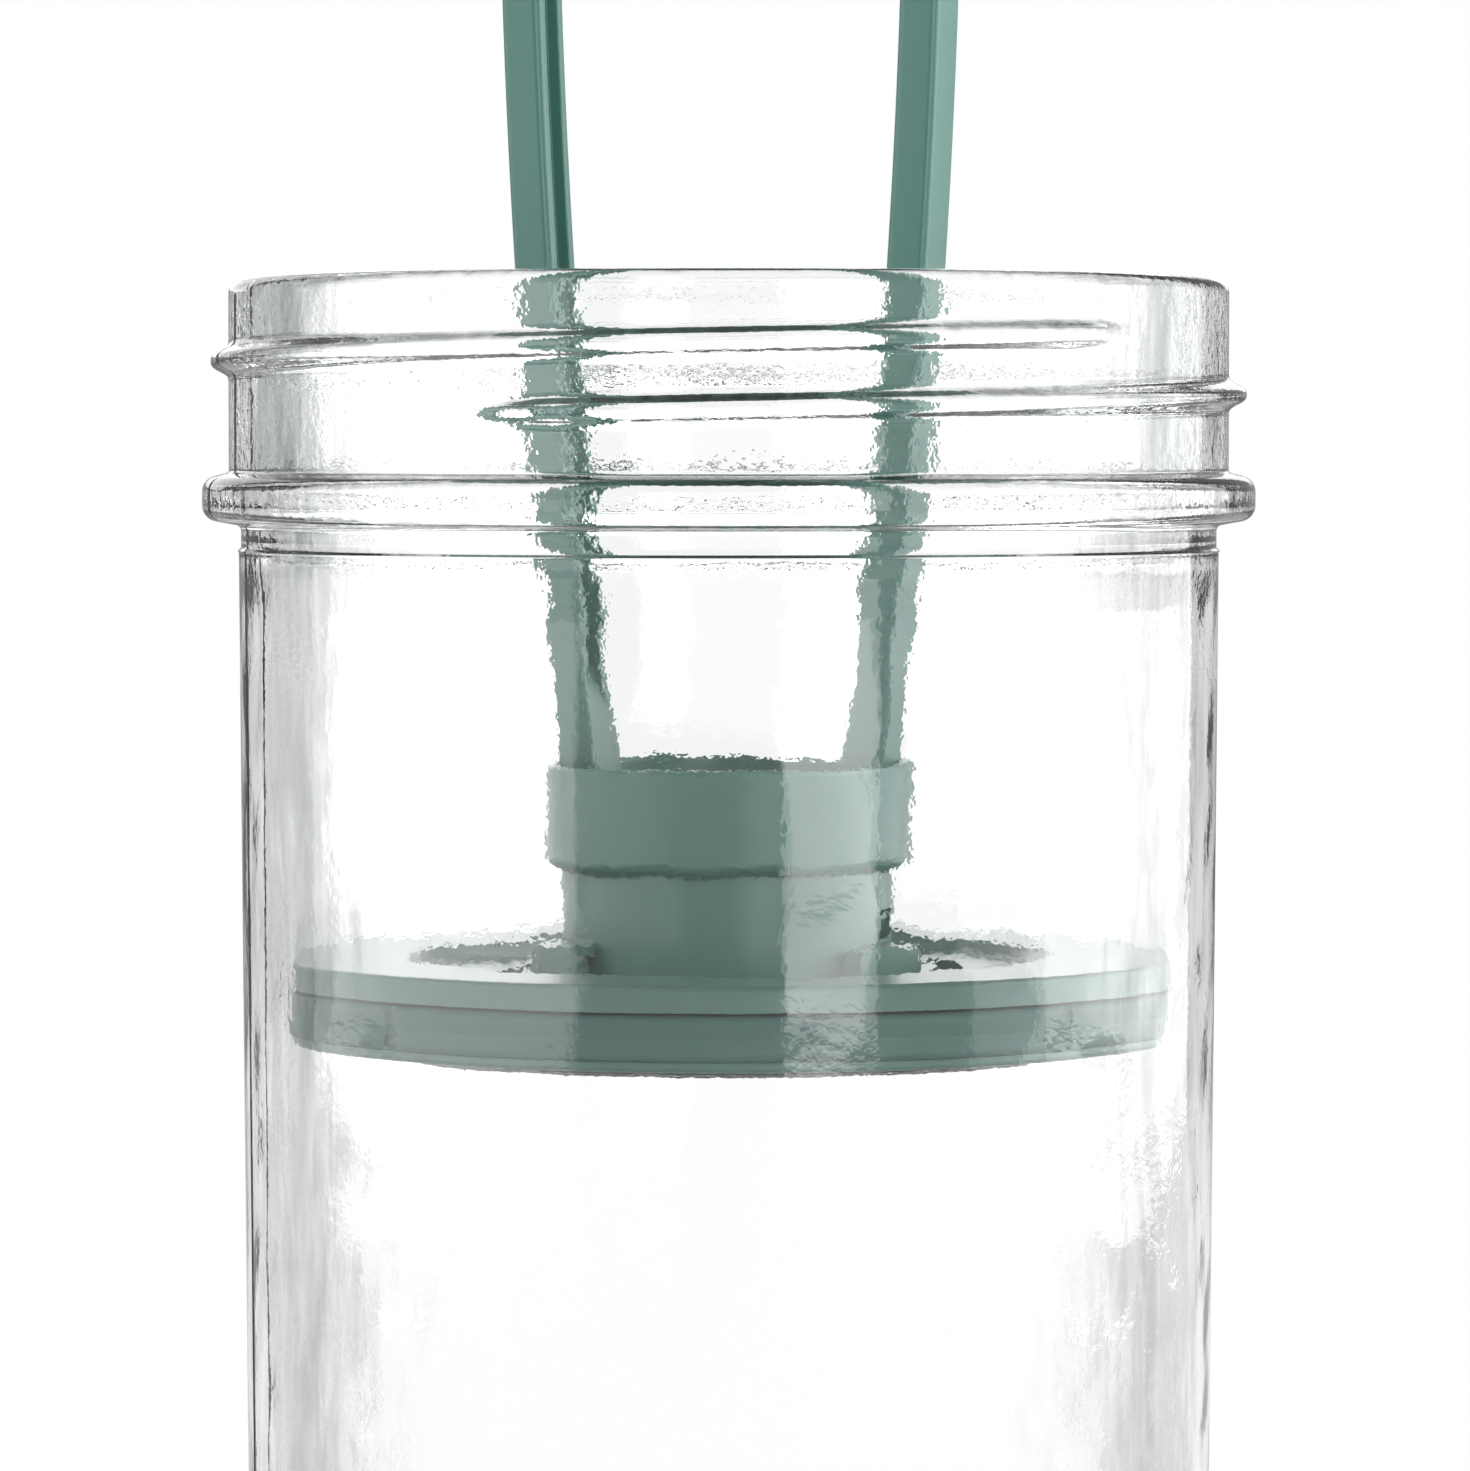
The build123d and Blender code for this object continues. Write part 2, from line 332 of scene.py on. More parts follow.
@dataclass(frozen=True)
class MouldedFinish:
    """A coloured moulded plastic or silicone.

    Args:
        name: The material's name.
        colour: Its own colour.
        roughness: How matt it is.
        grain_scale: Fineness of the spark texture.
        grain_depth: Depth of that texture in metres.
        drift: How far the colour wanders.
        highlight: How strongly the painted highlight lightens sharp convex edges.
        subsurface: Share of light that goes into the skin.
        subsurface_reach: How far that light goes, in metres.
    """

    name: str
    colour: Colour
    roughness: float
    grain_scale: float
    grain_depth: float
    drift: float
    rub: float
    subsurface: float = 0.0
    subsurface_reach: float = 2.0 * MM

    def build(self, groups: Groups) -> bpy.types.Material:
        """Makes the material.

        Args:
            groups: The shared groups.

        Returns:
            The new material.
        """
        material = bpy.data.materials.new(self.name)
        material.use_nodes = True
        graph = Graph(material.node_tree)
        skin = graph.add(
            "ShaderNodeGroup",
            {"node_tree": groups.moulded_skin},
            place=graph.add("ShaderNodeTexCoord").outputs["Object"],
            base=opaque(self.colour),
            roughness=self.roughness,
            grain_scale=self.grain_scale,
            drift=self.drift,
            rub=self.rub,
        )
        bump = graph.add(
            "ShaderNodeBump", Strength=1.0, Distance=self.grain_depth, Height=skin.outputs["height"]
        )
        shader = graph.add(
            "ShaderNodeBsdfPrincipled",
            Base_Color=skin.outputs["colour"],
            Roughness=skin.outputs["matt"],
            Normal=bump.outputs[0],
            Subsurface_Weight=self.subsurface,
            Subsurface_Scale=self.subsurface_reach,
            Specular_IOR_Level=0.5,
        )
        graph.add("ShaderNodeOutputMaterial", Surface=shader.outputs[0])
        return material


@dataclass(frozen=True)
class GlassFinish:
    """Clear pressed glass, its colour darkened by painted shade where the skin turns from the eye.

    Args:
        name: The material's name.
        tint: Hue of the kept light, stronger where more painted shade is laid on.
        relief: Depth of the relief in metres.
        peel_scale: Fineness of the peel.
        streak_share: Weight of the drawn-out streaks in the relief.
        rim_shade_stops: Painted edge shade, as light kept against how far the skin turns from the eye; a
            stop below 1 facing the eye is the glass's own tint.
        neck_relief: How many times deeper the relief is on the neck.
        streak_shade: How far the streaks break up the painted edge shade.
        body_shade: Share of the painted edge shade that the body gets, the neck having all of it.
    """

    name: str
    tint: Colour
    relief: float
    peel_scale: float
    streak_share: float
    rim_shade_stops: tuple[tuple[float, float], ...]
    neck_relief: float = 1.0
    streak_shade: float = 0.0
    body_shade: float = 1.0

    def rim_shade_colours(self) -> list[tuple[float, Colour]]:
        """Returns the rim's painted shade stops as colours, with more tint where less light is kept."""
        return [(at, tuple(keep ** (1.0 / part) for part in self.tint)) for at, keep in self.rim_shade_stops]

    def build(self, groups: Groups) -> bpy.types.Material:
        """Makes the material.

        Args:
            groups: The shared groups.

        Returns:
            The new material.
        """
        material = bpy.data.materials.new(self.name)
        material.use_nodes = True
        graph = Graph(material.node_tree)
        place = graph.add("ShaderNodeTexCoord").outputs["Object"]
        relief = graph.add(
            "ShaderNodeGroup",
            {"node_tree": groups.pressed_relief},
            place=place,
            peel_scale=self.peel_scale,
            streak_share=self.streak_share,
        ).outputs
        height = graph.add("ShaderNodeSeparateXYZ", Vector=place).outputs["Z"]
        neck = graph.remap(height, From_Min=NECK_FADE[0], From_Max=NECK_FADE[1])
        deeper = graph.remap(neck, To_Min=1.0, To_Max=self.neck_relief)
        raised = graph.math("MULTIPLY", relief["height"], deeper)
        normal = graph.add("ShaderNodeBump", Strength=1.0, Distance=self.relief, Height=raised).outputs[0]
        # Painted shade: the glass's colour darkens in bands as the skin turns from the eye, by Layer Weight
        # facing.
        facing = graph.add("ShaderNodeLayerWeight", Blend=0.5, Normal=normal).outputs["Facing"]
        broken = graph.math("ADD", facing, graph.math("MULTIPLY", relief["streak"], self.streak_shade))
        shade = graph.remap(neck, To_Min=self.body_shade, To_Max=1.0)
        shader = graph.add(
            "ShaderNodeBsdfPrincipled",
            Base_Color=graph.mix_colours(shade, opaque(WHITE), graph.ramp(broken, self.rim_shade_colours())),
            Roughness=0.0,
            IOR=1.5,
            Transmission_Weight=1.0,
            Normal=normal,
        )
        graph.add("ShaderNodeOutputMaterial", Surface=shader.outputs[0])
        return material


SAGE = MouldedFinish(
    name="sage_plastic_skin",
    colour=(0.077, 0.205, 0.172),
    roughness=0.3,
    grain_scale=2600.0,
    grain_depth=0.004 * MM,
    drift=0.05,
    # The edge lightening set below is a painted highlight.
    rub=0.06,
)
SAGE_SOFT = MouldedFinish(
    name="sage_silicone_skin",
    colour=(0.066, 0.178, 0.15),
    roughness=0.5,
    grain_scale=1800.0,
    grain_depth=0.006 * MM,
    drift=0.06,
    rub=0.03,
    subsurface=0.1,
)
CLEAR_SOFT = MouldedFinish(
    name="clear_silicone_skin",
    colour=(0.72, 0.74, 0.72),
    roughness=0.5,
    grain_scale=1800.0,
    grain_depth=0.004 * MM,
    drift=0.04,
    rub=0.0,
    subsurface=0.3,
)
JAR_GLASS = GlassFinish(
    name="jar_glass_skin",
    tint=(0.93, 1.0, 0.97),
    relief=0.016 * MM,
    peel_scale=800.0,
    streak_share=0.3,
    # Painted edge shade: a dark band as the skin turns away, paler again, then darker at the very edge.
    rim_shade_stops=((0.24, 1.0), (0.38, 0.9), (0.53, 0.44), (0.66, 0.24), (0.76, 0.6), (0.88, 0.95), (1.0, 0.6)),
    neck_relief=2.4,
    streak_shade=0.5,
    body_shade=0.7,
)
WEIGHT_GLASS = GlassFinish(
    name="weight_glass_skin",
    tint=(0.9, 1.0, 0.96),
    relief=0.008 * MM,
    peel_scale=500.0,
    streak_share=1.0,
    # Painted edge shade over the weight's own tint of 0.93.
    rim_shade_stops=((0.0, 0.93), (1.0, 0.8)),
)


def smooth_step(share: np.ndarray) -> np.ndarray:
    """Returns shares from 0 to 1 with a soft start and a soft end."""
    return share * share * (3 - 2 * share)


def corner_arc(
    before: np.ndarray, spot: np.ndarray, after: np.ndarray, rounding: float, arc_degrees: float
) -> list[np.ndarray]:
    """Rounds one corner of an outline.

    Args:
        before: The corner before it.
        spot: The corner itself.
        after: The corner after it.
        rounding: Radius of the arc.
        arc_degrees: The turn between two points of the arc.

    Returns:
        The arc's points.
    """
    into = (spot - before) / np.linalg.norm(spot - before)
    onward = (after - spot) / np.linalg.norm(after - spot)
    cross = into[0] * onward[1] - into[1] * onward[0]
    turn = math.atan2(cross, float(into @ onward))
    start = spot - into * rounding * math.tan(abs(turn) / 2)
    inward = np.array((-into[1], into[0])) * math.copysign(rounding, turn)
    spoke = -inward
    steps = max(FEWEST_ARC_STEPS, math.ceil(math.degrees(abs(turn)) / arc_degrees))
    arc = []
    for step in range(steps + 1):
        angle = turn * step / steps
        cosine = math.cos(angle)
        sine = math.sin(angle)
        turned = (spoke[0] * cosine - spoke[1] * sine, spoke[0] * sine + spoke[1] * cosine)
        arc.append(start + inward + np.array(turned))
    return arc


def rounded_path(corners: list[Corner], arc_degrees: float) -> np.ndarray:
    """Walks an outline, rounding its corners and dividing its runs.

    Args:
        corners: The outline's corners, from one end to the other.
        arc_degrees: The turn between two points of a rounded corner.

    Returns:
        An array of radius and height, one row for each point.
    """
    spots = [np.array((corner.radius, corner.height)) for corner in corners]
    path = [spots[0]]
    for number in range(1, len(corners)):
        arc = [spots[number]]
        if corners[number].rounding > 0:
            neighbours = spots[number - 1 : number + 2]
            arc = corner_arc(*neighbours, corners[number].rounding, arc_degrees)
        start = path[-1]
        run = arc[0] - start
        parts = max(1, math.ceil(float(np.linalg.norm(run)) / corners[number - 1].step))
        path.extend(start + run * part / parts for part in range(1, parts))
        path.extend(arc)
    return np.array(path)


def circle_through(first: tuple, second: tuple, third: tuple) -> tuple[np.ndarray, float]:
    """Finds the circle through three points.

    Args:
        first: Two coordinates.
        second: The same.
        third: The same.

    Returns:
        The circle's centre and its radius.
    """
    near = np.array(first)
    others = np.array((second, third))
    offsets = (others - near) * 2.0
    sums = (others**2).sum(axis=1) - (near**2).sum()
    centre = np.linalg.solve(offsets, sums)
    return centre, math.dist(first, centre)


def arc_points(centre: np.ndarray, radius: float, first: float, last: float, step: float) -> np.ndarray:
    """Divides an arc evenly.

    Args:
        centre: Its centre.
        radius: Its radius.
        first: Angle of its start, in radians.
        last: Angle of its end.
        step: The longest distance between two points.

    Returns:
        The points, both ends included.
    """
    parts = math.ceil(abs(last - first) * radius / step)
    turns = np.linspace(first, last, parts + 1)
    return centre + radius * np.stack((np.cos(turns), np.sin(turns)), axis=-1)


def add_piece(name: str, vertices: list, faces: list, smooth: bool) -> bpy.types.Object:
    """Makes an object from a mesh and puts it in the scene.

    Args:
        name: The name of both.
        vertices: Places in metres.
        faces: Vertex numbers of each face.
        smooth: Whether the faces are shaded smooth.

    Returns:
        The new object.
    """
    mesh = bpy.data.meshes.new(name)
    mesh.from_pydata(vertices, [], faces)
    mesh.polygons.foreach_set("use_smooth", [smooth] * len(faces))
    mesh.update()
    piece = bpy.data.objects.new(name, mesh)
    bpy.context.scene.collection.objects.link(piece)
    return piece


def turned_piece(
    name: str,
    path: np.ndarray,
    angles: np.ndarray,
    relief: Callable[[np.ndarray, np.ndarray], np.ndarray],
) -> bpy.types.Object:
    """Turns a path about the jar's axis, from the axis back to the axis.

    Args:
        name: The object's name.
        path: Radius and height of each row.
        angles: Angle of each column, in radians.
        relief: How far each point stands out, from the angles and the row numbers.

    Returns:
        The new object, smooth shaded and closed.
    """
    rows = np.arange(1, len(path) - 1)
    turn, row = np.meshgrid(angles, rows)
    radius = path[row, 0] + relief(turn, row)
    places = np.stack((radius * np.cos(turn), radius * np.sin(turn), path[row, 1]), axis=-1)
    ends = np.array(((0, 0, path[0, 1]), (0, 0, path[-1, 1])))
    vertices = np.concatenate((places.reshape(-1, 3), ends))
    columns = len(angles)
    first = np.arange(columns)
    following = np.roll(first, -1)
    faces = []
    for low in range(0, (len(rows) - 1) * columns, columns):
        high = low + columns
        quads = np.stack((low + first, low + following, high + following, high + first), axis=-1)
        faces.extend(quads.tolist())
    last_row = (len(rows) - 1) * columns
    first_end = len(vertices) - 2
    last_end = len(vertices) - 1
    spokes = list(zip(first.tolist(), following.tolist()))
    faces.extend([first_end, beyond, near] for near, beyond in spokes)
    faces.extend([last_end, last_row + near, last_row + beyond] for near, beyond in spokes)
    return add_piece(name, vertices.tolist(), faces, smooth=True)


class TubeMesh:
    """Gathers tubes with flat ends into one mesh."""

    def __init__(self) -> None:
        """Starts with nothing."""
        self.vertices: list[tuple[float, float, float]] = []
        self.faces: list[tuple[int, ...]] = []

    def add(self, rings: list[list[tuple[float, float, float]]]) -> None:
        """Joins closed rings into a tube.

        Args:
            rings: Places round each ring, with the same number in each.
        """
        start = len(self.vertices)
        count = len(rings[0])
        for ring in rings:
            self.vertices.extend(tuple(float(part) for part in place) for place in ring)
        for low in range(start, start + (len(rings) - 1) * count, count):
            high = low + count
            for spot in range(count):
                following = (spot + 1) % count
                self.faces.append((low + spot, high + spot, high + following, low + following))
        end = len(self.vertices)
        self.faces.append(tuple(range(start, start + count)))
        self.faces.append(tuple(reversed(range(end - count, end))))


def dress(piece: bpy.types.Object, material: bpy.types.Material) -> None:
    """Gives a piece its material.

    Args:
        piece: The object, a new one or a CAD node.
        material: What it is finished in.
    """
    piece.data.materials.clear()
    piece.data.materials.append(material)


@dataclass
class PressedJar:
    """The pressed-glass jar, with its bead, screw ridge, parting line and mould seams.

    The ridge narrows to thread_end_share of its width at its ends, and thread_squareness is the
    power that shapes its profile. seam_columns are places across a seam in half widths of it.
    wave_laps is the range of waves round the jar, wave_rise the spread of how fast they climb, in
    radians for each metre, and wave_falloff the number of laps at which a wave is half as strong.
    """

    height: float = 190.0 * MM
    body_radius: float = 55.1 * MM
    body_inner_radius: float = 50.9 * MM
    heel_radius: float = 53.9 * MM
    heel_inner_radius: float = 50.6 * MM
    heel_rounding: float = 7.0 * MM
    foot_radius: float = 42.5 * MM
    foot_rounding: float = 1.0 * MM
    punt_height: float = 2.6 * MM
    punt_radius: float = 39.0 * MM
    punt_edge_height: float = 2.2 * MM
    punt_rounding: float = 2.0 * MM
    floor_height: float = 7.5 * MM
    floor_rise: float = 0.7 * MM
    neck_radius: float = 56.2 * MM
    neck_inner_radius: float = 52.3 * MM
    neck_foot_rounding: float = 0.35 * MM
    lip_rounding: float = 1.8 * MM
    lip_inner_rounding: float = 1.6 * MM
    shoulder_radius: float = 54.85 * MM
    inner_shoulder_top: float = 167.0 * MM
    inner_shoulder_foot: float = 153.0 * MM
    inner_shoulder_rounding: float = 25.0 * MM
    bead_radius: float = 59.2 * MM
    bead_top: float = 168.3 * MM
    bead_bottom: float = 162.3 * MM
    bead_slope: float = 0.8 * MM
    bead_rounding: float = 1.8 * MM
    bead_foot_rounding: float = 0.7 * MM
    parting_height: float = 159.5 * MM
    parting_flash: float = 0.12 * MM
    thread_lead: float = 7.1 * MM
    thread_sweep: float = 441.0
    thread_low_end: float = 174.7 * MM
    thread_low_angle: float = -100.0
    thread_depth: float = 2.0 * MM
    thread_half_width: float = 1.25 * MM
    thread_end_share: float = 0.6
    thread_squareness: float = 3.2
    thread_taper: float = 11.0 * MM
    seam_angles: tuple[float, float] = (-146.5, 33.5)
    seam_depth: float = 0.14 * MM
    seam_half_width: float = 0.22 * MM
    seam_foot: float = 1.0 * MM
    seam_top_gap: float = 2.0 * MM
    seam_columns: tuple[float, ...] = (-2.2, -1.3, -0.8, -0.4, 0.0, 0.4, 0.8, 1.3, 2.2)
    wave_depth: float = 0.028 * MM
    wave_count: int = 28
    wave_laps: tuple[int, int] = (6, 46)
    wave_rise: float = 380.0
    wave_falloff: float = 8.0
    wave_top_gap: float = 3.0 * MM
    wave_fade: float = 6.0 * MM
    wave_neck_share: float = 0.3
    wave_seed: int = 11
    columns: int = 480
    arc_degrees: float = 9.0

    @property
    def floor_edge(self) -> float:
        """Radius at which the inner floor turns up into the wall."""
        return self.heel_inner_radius - self.heel_rounding

    def outer_corners(self) -> list[Corner]:
        """Lists the corners of the outer skin, with short steps where relief stands on it.

        Returns:
            The corners from the middle of the foot to the lip.
        """
        punt_step = 3.0 * MM
        body_step = 2.6 * MM
        fine_step = 1.0 * MM
        ridge_step = 0.23 * MM
        lip_step = 0.2 * MM
        flash = self.parting_flash
        parting_foot = self.parting_height - 2.0 * flash
        parting_end = self.parting_height + 3.0 * flash
        return [
            Corner(0.0, self.punt_height, 0.0, punt_step),
            Corner(self.punt_radius, self.punt_edge_height, self.punt_rounding, fine_step),
            Corner(self.foot_radius, 0.0, self.foot_rounding, fine_step),
            Corner(self.heel_radius, 0.0, self.heel_rounding, body_step),
            Corner(self.body_radius, parting_foot, 0.0, flash),
            Corner(self.body_radius + flash, self.parting_height, 0.0, flash),
            Corner(self.shoulder_radius, parting_end, 0.0, fine_step),
            Corner(self.shoulder_radius, self.bead_bottom, self.bead_foot_rounding, fine_step),
            Corner(self.bead_radius, self.bead_bottom + self.bead_slope, self.bead_rounding, fine_step),
            Corner(self.bead_radius, self.bead_top - self.bead_slope, self.bead_rounding, fine_step),
            Corner(self.neck_radius, self.bead_top, self.neck_foot_rounding, ridge_step),
            Corner(self.neck_radius, self.height, self.lip_rounding, lip_step),
        ]

    def inner_corners(self) -> list[Corner]:
        """Lists the corners of the inner skin.

        Returns:
            The corners from the lip to the middle of the floor.
        """
        lip_step = 1.6 * MM
        shoulder_step = 1.0 * MM
        wall_step = 1.9 * MM
        floor_step = 2.4 * MM
        round_shoulder = self.inner_shoulder_rounding
        return [
            Corner(self.neck_inner_radius, self.height, self.lip_inner_rounding, lip_step),
            Corner(self.neck_inner_radius, self.inner_shoulder_top, round_shoulder, shoulder_step),
            Corner(self.body_inner_radius, self.inner_shoulder_foot, round_shoulder, wall_step),
            Corner(self.heel_inner_radius, self.floor_height, self.heel_rounding, floor_step),
            Corner(0.0, self.floor_height + self.floor_rise, 0.0, floor_step),
        ]

    def column_angles(self) -> np.ndarray:
        """Spreads the columns round the jar, closer together at the two mould seams.

        Returns:
            Angles in radians, in order.
        """
        angles = list(np.linspace(-math.pi, math.pi, self.columns, endpoint=False))
        for seam in self.seam_angles:
            for offset in self.seam_columns:
                angles.append(math.radians(seam) + offset * self.seam_half_width / self.body_radius)
        return np.array(sorted(set(round(angle, ANGLE_DIGITS) for angle in angles)))

    def ridge(self, turn: np.ndarray, height: np.ndarray) -> np.ndarray:
        """Height of the screw ridge over the neck.

        Args:
            turn: Angles in radians.
            height: Heights in metres.

        Returns:
            How far the ridge stands out at each place.
        """
        out = np.zeros_like(turn)
        sweep = math.radians(self.thread_sweep)
        climbed = np.mod(turn - math.radians(self.thread_low_angle), FULL_TURN)
        for lap in (0, 1):
            along = climbed + FULL_TURN * lap
            crest = self.thread_low_end + self.thread_lead * along / FULL_TURN
            room = np.minimum(along, sweep - along) * self.neck_radius / self.thread_taper
            taper = smooth_step(np.clip(room, 0.0, 1.0))
            width_share = self.thread_end_share + (1.0 - self.thread_end_share) * taper
            across = np.abs(height - crest) / (self.thread_half_width * width_share)
            shape = np.exp(-(across**self.thread_squareness))
            out = np.maximum(out, self.thread_depth * taper * shape)
        return out

    def seam(self, turn: np.ndarray) -> np.ndarray:
        """Height of the two mould seams over the outer skin.

        Args:
            turn: Angles in radians.

        Returns:
            How far the seams stand out at each angle.
        """
        out = np.zeros_like(turn)
        for angle in self.seam_angles:
            apart = np.mod(turn - math.radians(angle) + math.pi, FULL_TURN) - math.pi
            across = apart * self.body_radius / self.seam_half_width
            out += self.seam_depth * np.exp(-across * across)
        return out

    def waves(self, turn: np.ndarray, height: np.ndarray) -> np.ndarray:
        """Slow waves that the plunger leaves in the inner skin.

        Args:
            turn: Angles in radians.
            height: Heights in metres.

        Returns:
            How far the skin moves at each place.
        """
        draw = np.random.default_rng(self.wave_seed)
        out = np.zeros_like(turn)
        for _ in range(self.wave_count):
            laps = int(draw.integers(*self.wave_laps))
            rise = draw.normal(0.0, self.wave_rise)
            phase = draw.uniform(0.0, FULL_TURN)
            size = self.wave_falloff / (self.wave_falloff + laps)
            out += size * np.cos(laps * turn + rise * height + phase)
        return self.wave_depth * out

    def relief(self, path: np.ndarray, turn: np.ndarray, row: np.ndarray) -> np.ndarray:
        """Relief of the outer skin up to the lip, and of the inner skin after it.

        Args:
            path: Radius and height of each row.
            turn: Angles in radians.
            row: Row numbers.

        Returns:
            How far each place stands out.
        """
        radius = path[row, 0]
        height = path[row, 1]
        outside = row <= int(np.argmax(path[:, 1]))
        waved = self.height - self.wave_top_gap - height
        on_neck = outside & (height > self.bead_top)
        on_side = outside & (height > self.seam_foot) & (height < self.height - self.seam_top_gap)
        inside = ~outside & (radius > self.floor_edge) & (waved > 0.0)
        fade = np.clip(waved / self.wave_fade, 0.0, 1.0)
        fade *= np.clip((radius - self.floor_edge) / self.wave_fade, 0.0, 1.0)
        fade *= np.interp(height, NECK_FADE, (1.0, self.wave_neck_share))
        out = np.where(on_neck, self.ridge(turn, height), 0.0)
        out += np.where(on_side, self.seam(turn), 0.0)
        out += np.where(inside, self.waves(turn, height) * fade, 0.0)
        return out

    def build(self) -> bpy.types.Object:
        """Makes the jar as one closed mesh.

        Returns:
            The jar, in place.
        """
        path = rounded_path(self.outer_corners() + self.inner_corners(), self.arc_degrees)
        return turned_piece("jar_shell", path, self.column_angles(), partial(self.relief, path))

    def dress(self, piece: bpy.types.Object, groups: Groups) -> None:
        """Puts the jar on its body and gives it its glass.

        Args:
            piece: The jar.
            groups: The shared groups.
        """
        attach(piece, Body.JAR.value)
        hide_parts("glass_jar")
        dress(piece, JAR_GLASS.build(groups))
        log.info("jar_shell: %d faces", len(piece.data.polygons))


@dataclass
class Press:
    """The press: cap, base, wiper, gasket and glass weight."""

    moulded: tuple[str, str] = ("press_cap", "press_base")
    wiper: str = "wiper_ring"
    gasket: str = "weight_gasket"
    weight: str = "glass_weight"

    def dress(self, sage: bpy.types.Material, groups: Groups) -> None:
        """Gives the press's CAD pieces their finishes.

        Args:
            sage: The plastic that the press shares with the handle.
            groups: The shared groups.
        """
        for node in self.moulded:
            dress(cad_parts[node], sage)
            log.info("%s: moulded plastic", node)
        dress(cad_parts[self.wiper], SAGE_SOFT.build(groups))
        log.info("%s: sage silicone", self.wiper)
        dress(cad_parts[self.gasket], CLEAR_SOFT.build(groups))
        log.info("%s: clear silicone", self.gasket)
        dress(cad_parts[self.weight], WEIGHT_GLASS.build(groups))
        log.info("%s: pressed glass", self.weight)


@dataclass(frozen=True)
class Tongue:
    """The barbed tongue under each foot of the bail, on the side where x is positive."""

    outer: float = 17.2 * MM
    inner: float = 14.2 * MM
    foot: float = 113.2 * MM
    top: float = 126.5 * MM
    width: float = 4.6 * MM
    foot_rounding: float = 0.7 * MM
    barb_foot: float = 116.3 * MM
    barb_top: float = 119.1 * MM
    barb_land: float = 0.7 * MM
    barb_reach: float = 1.3 * MM
    barb_rounding: float = 0.15 * MM
    arc_degrees: float = 15.0

    def outline(self) -> np.ndarray:
        """Draws the tongue and its barb from the side.

        Returns:
            Radius and height of each point.
        """
        tip = self.outer + self.barb_reach
        corners = [
            Corner(self.inner, self.top, 0.0, UNDIVIDED),
            Corner(self.inner, self.foot, self.foot_rounding, UNDIVIDED),
            Corner(self.outer, self.foot, self.foot_rounding, UNDIVIDED),
            Corner(self.outer, self.barb_foot, 0.0, UNDIVIDED),
            Corner(tip, self.barb_top - self.barb_land, self.barb_rounding, UNDIVIDED),
            Corner(tip, self.barb_top, self.barb_rounding, UNDIVIDED),
            Corner(self.outer, self.barb_top, 0.0, UNDIVIDED),
            Corner(self.outer, self.top, 0.0, UNDIVIDED),
        ]
        return rounded_path(corners, self.arc_degrees)

    def rings(self, side: int) -> list[list[tuple[float, float, float]]]:
        """Places the outline's two copies, one at each edge of the tongue.

        Args:
            side: 1 for the tongue where x is positive, -1 for the other.

        Returns:
            Two rings, in the order that turns the faces outwards.
        """
        edges = (side * self.width / 2, -side * self.width / 2)
        return [[(side * radius, edge, height) for radius, height in self.outline()] for edge in edges]


